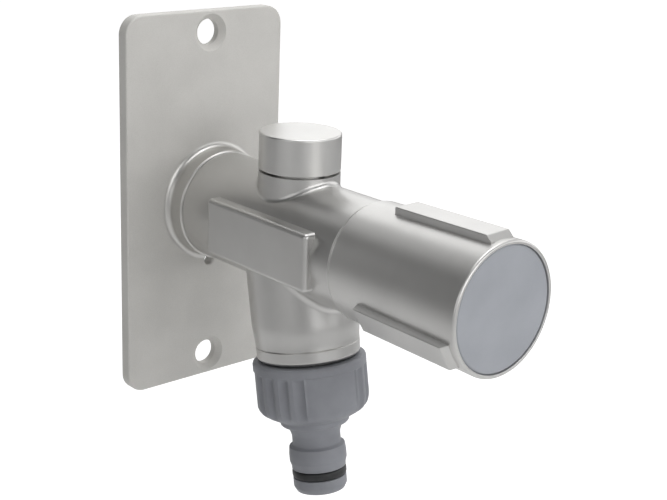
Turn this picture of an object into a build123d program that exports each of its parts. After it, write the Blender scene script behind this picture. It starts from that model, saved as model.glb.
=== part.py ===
from build123d import *
import os
from math import atan2, cos, pi, radians, sin

# Frost-free outdoor tap. Millimetres. The origin is where the tap's axis meets the wall.
# The tap points along -Y, away from the wall, and +Z is up.
# A station is a distance along the tap's axis, in front of the wall (behind it when negative).
# A depth is a distance down the outlet's axis, and a height is a distance up the vent's axis.
# Shapes that cut reach 1 mm past the faces they open.

# Fits between neighbouring pieces
fixed_gap = 0.05          # between round faces of pieces that are pressed or screwed together
running_gap = 0.08        # between a shaft and its bearing
thread_gap = 0.3          # between the plain cylinders that stand for two mating threads
seat_gap = 0.05           # between flat faces that rest on each other
sliding_gap = 0.2         # between a sliding piece and its guide
seal_gap = 0.02           # above and below a seal ring in its groove
groove_side_gap = 0.1     # beside a seal ring in its groove

# Wall plate
plate_width = 60.0
plate_height = 122.0
plate_thickness = 4.0
plate_corner_radius = 6.0
plate_edge_round = 0.6
plate_shift_x = -3.2      # the plate's middle line stands beside the tap's axis
plate_shift_z = 0.8
hole_line_x = -1.6        # the screw holes and the weep hole stand on this upright line
screw_hole_spacing = 108.0
screw_hole_radius = 4.1
screw_sink_radius = 5.8
weep_hole_radius = 2.2
weep_hole_reach = 2.2     # from the collar to the hole's middle
weep_hole_chamfer = 0.3
collar_radius = 17.8
collar_wall = 1.3
collar_front = 10.7       # station of the collar's rim
collar_root_round = 1.9
collar_rim_chamfer = 0.5
plate_lip = 2.0           # thickness of the lip that the tap's shoulder rests on
gasket_depth = 1.5
gasket_width = 4.0

# Tap body
barrel_radius = 17.2
barrel_front = 80.4       # station
barrel_edge_chamfer = 0.4
passage_radius = 9.0
cross_station = 46.8      # where the outlet and the vent leave the barrel
pad_reach = 18.9          # from the tap's axis to the pad's face
pad_length = 46.5
pad_shift = 2.3           # the pad's middle stands this far in front of the outlet
pad_height = 17.6
pad_edge_round = 1.3
front_neck_radius = 15.2  # the part of the body that the knob's sleeve covers
front_neck_length = 5.6

# Wall tube and inlet
tube_radius = 13.0
tube_wall = 1.5
tube_back = -22.0         # station of the tube's far end
tube_socket_depth = 12.0  # how far the tube goes into the body
inlet_hex_length = 5.95
inlet_hex_cut = 4.0       # the tube's diameter less the hexagon's width across flats
inlet_insert_length = 9.6
inlet_thread_radius = 9.3
inlet_thread_length = 12.0
seat_flange_radius = 7.5
seat_flange_thickness = 2.4
seat_flange_proud = 0.4
seat_lip_radius = 5.8
seat_lip_height = 1.55
seat_lip_slope = 0.6
seat_lip_edge = 0.4
seat_hole_radius = 4.8

# Valve plunger, driven by the spindle's thread
valve_travel = 6.0
washer_radius = 7.6
washer_thickness = 2.5
plunger_nose_radius = 8.0
plunger_nose_length = 3.0
plunger_hex = 13.0        # across flats
plunger_hex_length = 16.9
plunger_thread_spare = 1.0
washer_screw_radius = 1.5
washer_screw_length = 8.0
washer_screw_head_radius = 3.0
washer_screw_head_height = 1.8
washer_screw_slot = 0.7
guide_length = 5.0
guide_inset = 5.0         # behind the tube's front end
guide_port_wall = 0.55
guide_port_count = 6

# Spindle
spindle_radius = 4.0
spindle_grip = 6.65       # how far the spindle reaches into the closed plunger
spindle_collar_radius = 6.6
spindle_collar_length = 4.0
spindle_square = 5.6      # across flats
spindle_square_length = 10.4
spindle_seal_section = 0.8
spindle_seal_inset = 4.5  # in front of the bonnet's chamber
spindle_seal_pitch = 4.5
spindle_seal_count = 2
thrust_washer_thickness = 0.9
clip_thickness = 1.0
clip_radius = 6.0
clip_groove_depth = 0.6
clip_to_square = 0.5

# Bonnet
bonnet_radius = 12.0
bonnet_insert = 13.4      # how far the bonnet's barrel goes in behind the knob's end of the body
bonnet_hex = 26.0         # across flats
bonnet_hex_thickness = 5.0
bonnet_snout_radius = 9.5
bonnet_snout_length = 12.0
bonnet_chamber_radius = 7.0
bonnet_chamber_depth = 8.0
bonnet_seal_section = 0.9
bonnet_seal_inset = 3.5   # in front of the bonnet's back end

# Knob
knob_back_gap = 0.6       # from the barrel's end to the knob's sleeve
knob_length = 49.8
knob_back_radius = 18.0
knob_back_edge = 0.6
knob_front_radius = 19.1
knob_bore_radius = 16.3
knob_rim_round = 0.8
knob_recess_radius = 17.9
knob_recess_depth = 3.8
knob_rib_count = 3
knob_rest_turn = 1.5      # degrees that the top rib stands past the vertical at rest
rib_width = 8.6
rib_length = 33.7
rib_inset = 3.8           # behind the knob's front
rib_back_reach = 20.05
rib_front_reach = 20.65
rib_front_chamfer = 1.7
disc_inset = 0.3
disc_edge_chamfer = 0.6
disc_face_thickness = 1.8
disc_skirt_wall = 0.9
disc_skirt_length = 2.6
hub_radius = 7.0
hub_web_thickness = 4.0
hub_rim_wall = 1.6
hub_rim_length = 14.0
hub_floor = 2.5           # under the knob screw's head
hub_end_gap = 0.5         # between the hub and both ends of the spindle's square
knob_screw_radius = 1.6
knob_screw_head_radius = 3.6
knob_screw_head_height = 2.5
knob_screw_length = 13.0
knob_screw_hex = 2.5      # across flats, the key's socket
knob_screw_hex_depth = 1.75

# Vent on top
vent_radius = 12.4
vent_neck_top = 19.6      # height
vent_slot = 0.7           # open ring through which the air comes in
vent_cap_height = 11.2
vent_cap_round = 0.6
vent_cap_roof = 2.6
vent_neck_round = 1.6
vent_spigot_radius = 10.2
vent_spigot_length = 7.4
vent_bore_radius = 7.6
vent_lower_bore_radius = 6.2
vent_bore_depth = 13.5
vent_groove_count = 4
vent_groove_width = 2.4
vent_groove_depth = 0.9
cage_thickness = 1.5
cage_hub_radius = 2.9
cage_arm_width = 1.5
cage_rim_wall = 1.0
cage_arm_count = 4
float_radius = 6.3
float_thickness = 3.0
float_stem_radius = 1.5
float_stem_length = 4.0
float_travel = 3.0
float_edge = 1.0
vent_seat_hole = 3.5
vent_seat_edge = 0.5
vent_filter_width = 2.2

# Outlet
outlet_tilt = 10.6        # degrees forward of straight down
outlet_step = 0.5         # the outlet's radius is this much less than the barrel's
outlet_narrow_length = 12.0  # from where the outlet starts to narrow to its end
outlet_narrow_steps = 8
outlet_band_length = 4.4  # from the fine groove to the outlet's end
outlet_band_step = 0.6    # the outlet's radius less the radius at its band
outlet_band_groove = 0.25
outlet_end = 38.4         # depth
outlet_end_round = 1.4
outlet_end_taper = 0.1
outlet_root_round = 2.6
outlet_socket_depth = 24.0
nipple_top_gap = 1.0
nipple_socket_radius = 12.0
nipple_thread_radius = 13.2
nipple_thread_length = 11.55
nipple_bore_radius = 9.6
nipple_ledge_thickness = 4.0
nipple_ledge_hole = 7.5
nipple_end_chamfer = 0.8

# Check valve in the outlet
check_length = 18.9
check_wall = 1.7
check_seat_thickness = 2.4
check_seat_hole = 5.0
poppet_radius = 6.6
poppet_thickness = 2.2
poppet_stem_radius = 1.5
poppet_stem_length = 12.5
poppet_edge = 0.6
check_guide_inset = 15.15 # below the check valve's top
check_guide_thickness = 2.0
check_guide_hub = 3.2
check_arm_width = 1.6
check_arm_count = 3
check_seal_inset = 9.95   # below the check valve's top
check_seal_section = 0.7
spring_wire = 0.6
spring_radius = 4.3       # to the wire's middle
spring_turns = 5

# Hose coupling
nut_radius = 17.6
nut_rim_radius = 17.3
nut_top_gap = 1.2         # below the outlet's end
nut_rim_height = 0.6
nut_grip_length = 12.0
nut_upper_corner = 0.5
nut_upper_corner_length = 1.7
nut_shoulder_radius = 15.8
nut_shoulder_length = 3.6
nut_lower_corner = 1.8
nut_lower_corner_length = 1.1
nut_cone_radius = 11.2
nut_cone_length = 1.5
nut_hub_radius = 10.8
nut_hub_step_length = 0.3
nut_hub_length = 1.9
nut_hub_round = 1.0
nut_flute_groups = 3
nut_flutes_in_group = 4
nut_flute_pitch = 16.5    # degrees
nut_first_flute = -51.9   # degrees from the front, towards the tap's left
nut_flute_radius = 1.5
nut_flute_depth = 0.75
nut_flute_inset = 2.0     # below the nut's top
nut_panel_span = 57.0     # degrees, the smooth panel between two groups
nut_panel_depth = 0.35
flat_washer_thickness = 2.0
flat_washer_outer = 12.6
flat_washer_inner = 7.8
spigot_flange_radius = 12.8
spigot_flange_thickness = 2.4
spigot_stem_radius = 9.0
spigot_bore_radius = 5.2
spigot_stem_edge = 0.35
spigot_stem_edge_length = 1.0
spigot_stem_drop = 0.4    # below the nut
spigot_taper_length = 1.6
spigot_neck_radius = 7.56
spigot_neck_round = 0.25
spigot_neck_round_length = 1.0
spigot_neck_length = 3.6
spigot_lip_radius = 8.7
spigot_lip_length = 0.4
spigot_collar_radius = 8.95
spigot_collar_rise = 2.3
spigot_collar_length = 2.3
spigot_collar_fall = 1.7
spigot_land_radius = 8.45
spigot_land_length = 0.8
spigot_ring_radius = 8.5
spigot_ring_width = 2.9
spigot_ring_floor = 6.8
spigot_ring_round = 0.9
spigot_tip_radius = 8.35
spigot_tip_length = 2.9
spigot_end_radius = 7.5
spigot_end_length = 1.5
spigot_bore_edge = 0.6

# Set screw that holds the body in the collar
set_screw_radius = 2.0
set_screw_tube_gap = 0.2  # from the screw's inner end to the wall tube
set_screw_station = 6.6
set_screw_hex = 2.0       # across flats
set_screw_sunk = 0.3      # below the collar's surface

tilt = radians(outlet_tilt)
tap_axis = Plane(origin=(0, 0, 0), x_dir=(1, 0, 0), z_dir=(0, -1, 0))
vent_axis = Plane(origin=(0, -cross_station, 0), x_dir=(1, 0, 0), z_dir=(0, 0, 1))
outlet_axis = Plane(origin=(0, -cross_station, 0), x_dir=(1, 0, 0), z_dir=(0, -sin(tilt), -cos(tilt)))


# Shapes on an axis: radius outwards, height along the axis

def turned(outline, axis):
    section = make_face(Polyline([(radius, 0, height) for radius, height in outline], close=True))
    return axis.location * revolve(section, Axis.Z, 360)


def rod(radius, low, high, axis):
    return turned([(0, low), (radius, low), (radius, high), (0, high)], axis)


def tube(inner, outer, low, high, axis):
    return turned([(inner, low), (outer, low), (outer, high), (inner, high)], axis)


def seal_ring(outer, section, height, axis):
    ring = Torus(outer - section, section)
    return axis.location * Pos(0, 0, height) * ring


def seal_outer(bore):
    return bore - seal_gap


def seal_floor(bore, section):
    return seal_outer(bore) - 2 * section - seal_gap


def prism(across_flats, sides, low, high, axis):
    corner_radius = across_flats / 2 / cos(pi / sides)
    section = RegularPolygon(corner_radius, sides)
    return axis.location * Pos(0, 0, low) * extrude(section, high - low)


def bar(width, length, low, high, turn, axis):
    block = Pos(length / 2, 0, (low + high) / 2) * Box(length, width, high - low)
    return axis.location * Rot(0, 0, turn) * block


def spread(count):
    return [360 * number / count for number in range(count)]


# Wall plate and what it holds

def make_wall_plate():
    middle = Pos(plate_shift_x, 0, plate_shift_z)
    outline = Plane.XZ * RectangleRounded(plate_width, plate_height, plate_corner_radius)
    plate = middle * extrude(outline, plate_thickness)
    front_edges = plate.edges().filter_by_position(Axis.Y, -plate_thickness, -plate_thickness)
    plate = fillet(front_edges, plate_edge_round)
    rim_edge = collar_front - collar_rim_chamfer
    collar = turned([(0, 0), (collar_radius, 0), (collar_radius, rim_edge),
                     (collar_radius - collar_rim_chamfer, collar_front), (0, collar_front)], tap_axis)
    blank = plate + collar
    root_edges = new_edges(plate, collar, combined=blank)
    root_edges = root_edges.filter_by_position(Axis.Y, -plate_thickness - 0.01, -plate_thickness + 0.01)
    blank = fillet(root_edges, collar_root_round)
    blank -= rod(collar_radius - collar_wall, plate_lip, collar_front + 1, tap_axis)
    blank -= rod(tube_radius + sliding_gap, -1, plate_lip + 1, tap_axis)
    blank -= tube(tube_radius, tube_radius + sliding_gap + gasket_width, -1, gasket_depth, tap_axis)
    for side in (-1, 1):
        height = plate_shift_z + side * screw_hole_spacing / 2
        blank -= sunk_hole(screw_hole_radius, screw_sink_radius, height)
    weep_height = -collar_radius - weep_hole_reach
    blank -= sunk_hole(weep_hole_radius, weep_hole_radius + weep_hole_chamfer, weep_height)
    return blank - set_screw_space()


def sunk_hole(radius, sink_radius, height):
    axis = Plane(origin=(hole_line_x, 0, height), x_dir=(1, 0, 0), z_dir=(0, -1, 0))
    sink_start = plate_thickness - (sink_radius - radius)
    return turned([(0, -1), (radius, -1), (radius, sink_start), (sink_radius, plate_thickness),
                   (sink_radius, plate_thickness + 1), (0, plate_thickness + 1)], axis)


def make_wall_gasket():
    inner = tube_radius + sliding_gap
    return tube(inner, inner + gasket_width - fixed_gap, 0, gasket_depth - seat_gap, tap_axis)


def set_screw_axis():
    return Plane(origin=(0, -set_screw_station, 0), x_dir=(1, 0, 0), z_dir=(0, 0, -1))


def set_screw_end():
    return tube_radius + set_screw_tube_gap


def set_screw_space():
    bottom = set_screw_end() - seat_gap
    return rod(set_screw_radius + fixed_gap, bottom, collar_radius + 1, set_screw_axis())


def make_set_screw():
    axis = set_screw_axis()
    head = collar_radius - set_screw_sunk
    screw = rod(set_screw_radius, set_screw_end(), head, axis)
    return screw - prism(set_screw_hex, 6, (head + set_screw_end()) / 2, head + 1, axis)


# Tap body

def make_outlet_blank():
    groove = outlet_band_groove
    band = outlet_end - outlet_band_length
    radius = barrel_radius - outlet_step
    band_radius = radius - outlet_band_step
    narrow_start = outlet_end - outlet_narrow_length
    narrow_span = band - groove - narrow_start
    outline = [(0, 0), (radius, 0), (radius, narrow_start)]
    for step in range(1, outlet_narrow_steps):
        share = step / outlet_narrow_steps
        narrowed = outlet_band_step * share * share * (3 - 2 * share)
        outline.append((radius - narrowed, narrow_start + share * narrow_span))
    outline += [(band_radius, band - groove), (band_radius - groove, band), (band_radius, band + groove),
                (band_radius - outlet_end_taper, outlet_end - outlet_end_round)]
    corner = band_radius - outlet_end_taper - outlet_end_round
    for step in range(1, 5):
        angle = radians(90 * step / 5)
        outline.append((corner + outlet_end_round * cos(angle),
                        outlet_end - outlet_end_round * (1 - sin(angle))))
    outline += [(corner, outlet_end), (0, outlet_end)]
    return turned(outline, outlet_axis)


def make_tap_body():
    neck_end = barrel_front + front_neck_length
    barrel_back = collar_front + seat_gap
    spigot_radius = collar_radius - collar_wall - fixed_gap
    barrel = turned([(0, plate_lip + seat_gap), (spigot_radius, plate_lip + seat_gap),
                     (spigot_radius, barrel_back), (barrel_radius, barrel_back),
                     (barrel_radius, barrel_front - barrel_edge_chamfer),
                     (barrel_radius - barrel_edge_chamfer, barrel_front),
                     (front_neck_radius, barrel_front), (front_neck_radius, neck_end), (0, neck_end)],
                    tap_axis)
    neck = rod(vent_radius, 0, vent_neck_top, vent_axis)
    upper = barrel + neck
    neck_root = new_edges(barrel, neck, combined=upper).filter_by_position(Axis.Z, 0, vent_neck_top - 1)
    upper = fillet(neck_root, vent_neck_round)
    outlet = make_outlet_blank()
    whole = upper + outlet
    outlet_root = new_edges(upper, outlet, combined=whole).filter_by_position(Axis.Z, -barrel_radius, 0)
    whole = fillet(outlet_root, outlet_root_round)
    pad = Pos(-pad_reach / 2, -cross_station - pad_shift, 0) * Box(pad_reach, pad_length, pad_height)
    face_edges = pad.edges().filter_by_position(Axis.X, -pad_reach, -pad_reach)
    corner_edges = pad.edges().filter_by(Axis.X)
    pad = fillet(face_edges + corner_edges, pad_edge_round)
    whole = whole + pad
    whole += rod(vent_spigot_radius, 0, vent_spigot_top(), vent_axis)
    whole -= rod(tube_radius + fixed_gap, 0, plate_lip + tube_socket_depth, tap_axis)
    whole -= rod(passage_radius, 0, barrel_front, tap_axis)
    whole -= rod(bonnet_radius + fixed_gap, bonnet_back() - seat_gap, neck_end + 1, tap_axis)
    whole -= rod(vent_lower_bore_radius, 0, vent_neck_top, vent_axis)
    whole -= rod(vent_bore_radius, vent_ledge(), vent_spigot_top() + 1, vent_axis)
    whole -= rod(passage_radius, 0, outlet_socket_depth, outlet_axis)
    whole -= rod(nipple_socket_radius + fixed_gap, outlet_socket_depth, outlet_end + 1, outlet_axis)
    groove_start = vent_spigot_radius - vent_groove_depth
    groove_end = vent_spigot_top() + 1
    for turn in spread(vent_groove_count):
        groove = bar(vent_groove_width, vent_spigot_radius + 1, vent_neck_top, groove_end, turn, vent_axis)
        whole -= groove - rod(groove_start, 0, groove_end + 1, vent_axis)
    return whole - set_screw_space()


# Wall tube, inlet and valve

def tube_front():
    return plate_lip + tube_socket_depth - seat_gap


def make_wall_tube():
    return tube(tube_radius - tube_wall, tube_radius, tube_back, tube_front(), tap_axis)


def inlet_back():
    return tube_back - seat_gap - inlet_hex_length


def inlet_insert_front():
    return tube_back + inlet_insert_length


def make_inlet_fitting():
    front = inlet_insert_front()
    insert_radius = tube_radius - tube_wall - fixed_gap
    inlet_hex = 2 * tube_radius - inlet_hex_cut
    fitting = prism(inlet_hex, 6, inlet_back(), tube_back - seat_gap, tap_axis)
    fitting += rod(insert_radius, inlet_back() + 1, front, tap_axis)
    fitting -= rod(inlet_thread_radius, inlet_back() - 1, inlet_back() + inlet_thread_length, tap_axis)
    fitting -= rod(seat_hole_radius, inlet_back(), front + 1, tap_axis)
    recess = front - seat_flange_thickness + seat_flange_proud
    fitting -= rod(seat_flange_radius + fixed_gap, recess, front + 1, tap_axis)
    return fitting


def seat_face():
    return inlet_insert_front() + seat_flange_proud + seat_lip_height


def make_valve_seat():
    flange_front = inlet_insert_front() + seat_flange_proud
    flange_back = flange_front - seat_flange_thickness + seat_gap
    return turned([(seat_hole_radius, flange_back), (seat_flange_radius, flange_back),
                   (seat_flange_radius, flange_front), (seat_lip_radius + seat_lip_slope, flange_front),
                   (seat_lip_radius, seat_face()), (seat_hole_radius + seat_lip_edge, seat_face()),
                   (seat_hole_radius, seat_face() - seat_lip_edge)], tap_axis)


def washer_back():
    return seat_face() + seat_gap


def make_seat_washer():
    back = washer_back()
    return tube(washer_screw_radius + fixed_gap, washer_radius, back, back + washer_thickness, tap_axis)


def nose_back():
    return washer_back() + washer_thickness + seat_gap


def hex_front():
    return nose_back() + plunger_nose_length + plunger_hex_length


def make_valve_plunger():
    nose_front = nose_back() + plunger_nose_length
    plunger = rod(plunger_nose_radius, nose_back(), nose_front, tap_axis)
    plunger += prism(plunger_hex, 6, nose_front - 1, hex_front(), tap_axis)
    screw_hole_end = washer_back() + washer_screw_length + seat_gap
    plunger -= rod(washer_screw_radius + fixed_gap, nose_back() - 1, screw_hole_end, tap_axis)
    thread_end = spindle_back() - valve_travel - plunger_thread_spare
    plunger -= rod(spindle_radius + running_gap, thread_end, hex_front() + 1, tap_axis)
    return plunger


def make_washer_screw():
    under_head = washer_back() - seat_gap
    screw = rod(washer_screw_head_radius, under_head - washer_screw_head_height, under_head, tap_axis)
    screw += rod(washer_screw_radius, under_head - 0.5, under_head + washer_screw_length, tap_axis)
    slot = Box(2 * washer_screw_head_radius + 2, washer_screw_slot, washer_screw_slot)
    slot_station = under_head - washer_screw_head_height + washer_screw_slot / 2
    return screw - tap_axis.location * Pos(0, 0, slot_station) * slot


def make_plunger_guide():
    outer = tube_radius - tube_wall - fixed_gap
    high = tube_front() - guide_inset
    low = high - guide_length
    guide = rod(outer, low, high, tap_axis)
    guide_hex = plunger_hex + 2 * sliding_gap
    guide -= prism(guide_hex, 6, low - 1, high + 1, tap_axis)
    hex_corner = guide_hex / 2 / cos(pi / 6)
    port_circle = (outer + hex_corner) / 2
    port_radius = (outer - hex_corner) / 2 - guide_port_wall
    for turn in spread(guide_port_count):
        port = Pos(port_circle, 0, (low + high) / 2) * Cylinder(port_radius, guide_length + 2)
        guide -= tap_axis.location * Rot(0, 0, turn) * port
    return guide


# Spindle and bonnet

def bonnet_back():
    return barrel_front - bonnet_insert


def bonnet_seal_station():
    return bonnet_back() + bonnet_seal_inset


def bonnet_seat():
    return barrel_front + front_neck_length + seat_gap


def bonnet_front():
    return bonnet_seat() + bonnet_hex_thickness + bonnet_snout_length


def chamber_front():
    return bonnet_back() + bonnet_chamber_depth


def clip_back():
    return bonnet_front() + seat_gap


def square_back():
    return clip_back() + clip_thickness + clip_to_square


def square_front():
    return square_back() + spindle_square_length


def spindle_back():
    return hex_front() - spindle_grip


def spindle_seal_stations():
    first = chamber_front() + spindle_seal_inset
    return [first + spindle_seal_pitch * number for number in range(spindle_seal_count)]


def make_spindle():
    collar_front_face = chamber_front() - thrust_washer_thickness - 2 * seat_gap
    collar_back_face = collar_front_face - spindle_collar_length
    spindle = rod(spindle_radius, spindle_back(), square_back(), tap_axis)
    spindle += rod(spindle_collar_radius, collar_back_face, collar_front_face, tap_axis)
    spindle += prism(spindle_square, 4, square_back() - 0.5, square_front(), tap_axis)
    groove_floor = seal_floor(spindle_radius + running_gap, spindle_seal_section)
    half_groove = spindle_seal_section + groove_side_gap
    for station in spindle_seal_stations():
        spindle -= tube(groove_floor, spindle_radius + 1, station - half_groove,
                        station + half_groove, tap_axis)
    clip_floor = spindle_radius - clip_groove_depth
    spindle -= tube(clip_floor, spindle_radius + 1, clip_back() - seat_gap,
                    clip_back() + clip_thickness + seat_gap, tap_axis)
    hole_back = knob_screw_seat() - knob_screw_length - seat_gap
    spindle -= rod(knob_screw_radius + fixed_gap, hole_back, square_front() + 1, tap_axis)
    return spindle


def make_spindle_seals():
    outer = seal_outer(spindle_radius + running_gap)
    rings = [seal_ring(outer, spindle_seal_section, station, tap_axis)
             for station in spindle_seal_stations()]
    return Compound(children=rings)


def make_thrust_washer():
    front = chamber_front() - seat_gap
    return tube(spindle_radius + running_gap, spindle_collar_radius, front - thrust_washer_thickness, front,
                tap_axis)


def make_spindle_clip():
    low = clip_back()
    high = low + clip_thickness
    clip = tube(spindle_radius - clip_groove_depth + fixed_gap, clip_radius, low, high, tap_axis)
    return clip - bar(spindle_radius, clip_radius + 1, low - 1, high + 1, 90, tap_axis)


def make_bonnet():
    seat = bonnet_seat()
    hex_front_face = seat + bonnet_hex_thickness
    bonnet = rod(bonnet_radius, bonnet_back(), seat + 1, tap_axis)
    bonnet += prism(bonnet_hex, 6, seat, hex_front_face, tap_axis)
    bonnet += rod(bonnet_snout_radius, seat, bonnet_front(), tap_axis)
    bonnet -= rod(bonnet_chamber_radius, bonnet_back() - 1, chamber_front(), tap_axis)
    bonnet -= rod(spindle_radius + running_gap, bonnet_back(), bonnet_front() + 1, tap_axis)
    groove_floor = seal_floor(bonnet_radius + fixed_gap, bonnet_seal_section)
    half_groove = bonnet_seal_section + groove_side_gap
    station = bonnet_seal_station()
    return bonnet - tube(groove_floor, bonnet_radius + 1, station - half_groove,
                         station + half_groove, tap_axis)


def make_bonnet_seal():
    outer = seal_outer(bonnet_radius + fixed_gap)
    return seal_ring(outer, bonnet_seal_section, bonnet_seal_station(), tap_axis)


# Knob

def knob_back():
    return barrel_front + knob_back_gap


def knob_front():
    return knob_back() + knob_length


def make_knob_shell():
    back = knob_back()
    front = knob_front()
    outline = [(0, back), (knob_back_radius - knob_back_edge, back), (knob_back_radius, back + knob_back_edge),
               (knob_front_radius, front - knob_rim_round)]
    middle_radius = knob_front_radius - knob_rim_round
    for step in range(1, 5):
        angle = radians(90 * step / 5)
        outline.append((middle_radius + knob_rim_round * cos(angle),
                        front - knob_rim_round * (1 - sin(angle))))
    outline += [(middle_radius, front), (0, front)]
    shell = turned(outline, tap_axis)
    rib_root = (knob_bore_radius + knob_back_radius) / 2
    rib_front = front - rib_inset
    rib_back = rib_front - rib_length
    side = Polyline([(rib_root, 0, rib_back), (rib_back_reach, 0, rib_back),
                     (rib_front_reach, 0, rib_front),
                     (rib_front_reach - rib_front_chamfer, 0, rib_front + rib_front_chamfer),
                     (rib_root, 0, rib_front + rib_front_chamfer)], close=True)
    rib = extrude(make_face(side), rib_width / 2, both=True)
    for turn in spread(knob_rib_count):
        shell += tap_axis.location * Rot(0, 0, 90 + knob_rest_turn + turn) * rib
    shell -= rod(knob_bore_radius, back - 1, front, tap_axis)
    shell -= rod(knob_recess_radius, front - knob_recess_depth, front + 1, tap_axis)
    return shell


def disc_back():
    return knob_front() - knob_recess_depth + seat_gap


def make_knob_disc():
    front = knob_front() - disc_inset
    radius = knob_recess_radius - fixed_gap
    skirt_outer = knob_bore_radius - fixed_gap
    skirt_inner = skirt_outer - disc_skirt_wall
    skirt_back = disc_back() - disc_skirt_length
    return turned([(0, front - disc_face_thickness), (skirt_inner, front - disc_face_thickness),
                   (skirt_inner, skirt_back), (skirt_outer, skirt_back), (skirt_outer, disc_back()),
                   (radius, disc_back()), (radius, front - disc_edge_chamfer),
                   (radius - disc_edge_chamfer, front), (0, front)], tap_axis)


def knob_screw_seat():
    return square_front() + hub_end_gap + hub_floor


def make_knob_hub():
    back = square_back() + hub_end_gap
    front = knob_screw_seat()
    web_middle = (back + front) / 2
    rim_radius = knob_bore_radius - fixed_gap
    hub = rod(hub_radius, back, front, tap_axis)
    hub += tube(hub_radius - 1, rim_radius, web_middle - hub_web_thickness / 2,
                web_middle + hub_web_thickness / 2, tap_axis)
    hub += tube(rim_radius - hub_rim_wall, rim_radius, web_middle - hub_rim_length / 2,
                web_middle + hub_rim_length / 2, tap_axis)
    hub -= prism(spindle_square + 2 * fixed_gap, 4, back - 1, square_front() + hub_end_gap,
                 tap_axis)
    hub -= rod(knob_screw_radius + fixed_gap, back, front + 1, tap_axis)
    return hub


def make_knob_screw():
    seat = knob_screw_seat() + seat_gap
    top = seat + knob_screw_head_height
    screw = rod(knob_screw_head_radius, seat, top, tap_axis)
    screw += rod(knob_screw_radius, seat - knob_screw_length, seat + 0.5, tap_axis)
    return screw - prism(knob_screw_hex, 6, top - knob_screw_hex_depth, top + 1, tap_axis)


# Vent

def vent_spigot_top():
    return vent_neck_top + vent_spigot_length


def vent_ledge():
    return vent_spigot_top() - vent_bore_depth


def vent_cap_top():
    return vent_neck_top + vent_slot + vent_cap_height


def cage_top():
    return vent_ledge() + seat_gap + cage_thickness


def make_vent_cage():
    low = vent_ledge() + seat_gap
    high = cage_top()
    rim = vent_bore_radius - fixed_gap
    cage = tube(rim - cage_rim_wall, rim, low, high, vent_axis)
    cage += rod(cage_hub_radius, low, high, vent_axis)
    for turn in spread(cage_arm_count):
        cage += bar(cage_arm_width, rim - cage_rim_wall / 2, low, high, turn, vent_axis)
    return cage - rod(float_stem_radius + sliding_gap, low - 1, high + 1, vent_axis)


def make_vent_float():
    low = cage_top() + seat_gap
    high = low + float_thickness
    return turned([(0, low - float_stem_length), (float_stem_radius, low - float_stem_length),
                   (float_stem_radius, low), (float_radius, low), (float_radius, high - float_edge),
                   (float_radius - float_edge, high), (0, high)], vent_axis)


def make_vent_seat():
    low = cage_top() + seat_gap + float_thickness + float_travel + seat_gap
    high = vent_spigot_top()
    outer = vent_bore_radius - fixed_gap
    return turned([(vent_seat_hole + vent_seat_edge, low), (outer, low), (outer, high),
                   (vent_seat_hole, high), (vent_seat_hole, low + vent_seat_edge)], vent_axis)


def make_vent_cap():
    low = vent_neck_top + vent_slot
    cap = rod(vent_radius, low, vent_cap_top(), vent_axis)
    top_edge = cap.edges().filter_by_position(Axis.Z, vent_cap_top(), vent_cap_top())
    cap = fillet(top_edge, vent_cap_round)
    return cap - rod(vent_spigot_radius + fixed_gap, low - 1, vent_cap_top() - vent_cap_roof, vent_axis)


def make_vent_filter():
    low = vent_spigot_top() + seat_gap
    high = vent_cap_top() - vent_cap_roof - seat_gap
    return tube(vent_spigot_radius - vent_filter_width, vent_spigot_radius, low, high, vent_axis)


# Outlet nipple and check valve

def nipple_top():
    return outlet_socket_depth + nipple_top_gap


def nipple_end():
    return outlet_end + seat_gap + nipple_thread_length


def make_outlet_nipple():
    top = nipple_top()
    end = nipple_end()
    ledge = top + nipple_ledge_thickness
    return turned([(nipple_ledge_hole, top), (nipple_socket_radius, top),
                   (nipple_socket_radius, outlet_end + seat_gap),
                   (nipple_thread_radius, outlet_end + seat_gap),
                   (nipple_thread_radius, end - nipple_end_chamfer),
                   (nipple_thread_radius - nipple_end_chamfer, end),
                   (nipple_bore_radius, end), (nipple_bore_radius, ledge), (nipple_ledge_hole, ledge)],
                  outlet_axis)


def check_top():
    return nipple_top() + nipple_ledge_thickness + seat_gap


def check_guide():
    return check_top() + check_guide_inset


def check_seal_depth():
    return check_top() + check_seal_inset


def check_outer():
    return nipple_bore_radius - fixed_gap


def make_check_body():
    top = check_top()
    outer = check_outer()
    inner = outer - check_wall
    end = top + check_length
    body = tube(inner, outer, top, end, outlet_axis)
    body += tube(check_seat_hole, inner + 0.5, top, top + check_seat_thickness, outlet_axis)
    guide_end = check_guide() + check_guide_thickness
    body += rod(check_guide_hub, check_guide(), guide_end, outlet_axis)
    for turn in spread(check_arm_count):
        body += bar(check_arm_width, inner + 0.5, check_guide(), guide_end, turn, outlet_axis)
    body -= rod(poppet_stem_radius + sliding_gap, check_guide() - 1, guide_end + 1, outlet_axis)
    groove_floor = seal_floor(nipple_bore_radius, check_seal_section)
    half_groove = check_seal_section + groove_side_gap
    depth = check_seal_depth()
    return body - tube(groove_floor, outer + 1, depth - half_groove, depth + half_groove, outlet_axis)


def make_check_seal():
    return seal_ring(seal_outer(nipple_bore_radius), check_seal_section, check_seal_depth(), outlet_axis)


def poppet_top():
    return check_top() + check_seat_thickness + seat_gap


def make_check_poppet():
    low = poppet_top()
    face_end = low + poppet_thickness
    return turned([(0, low), (poppet_radius, low), (poppet_radius, face_end - poppet_edge),
                   (poppet_radius - poppet_edge, face_end), (poppet_stem_radius, face_end),
                   (poppet_stem_radius, face_end + poppet_stem_length), (0, face_end + poppet_stem_length)],
                  outlet_axis)


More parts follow.
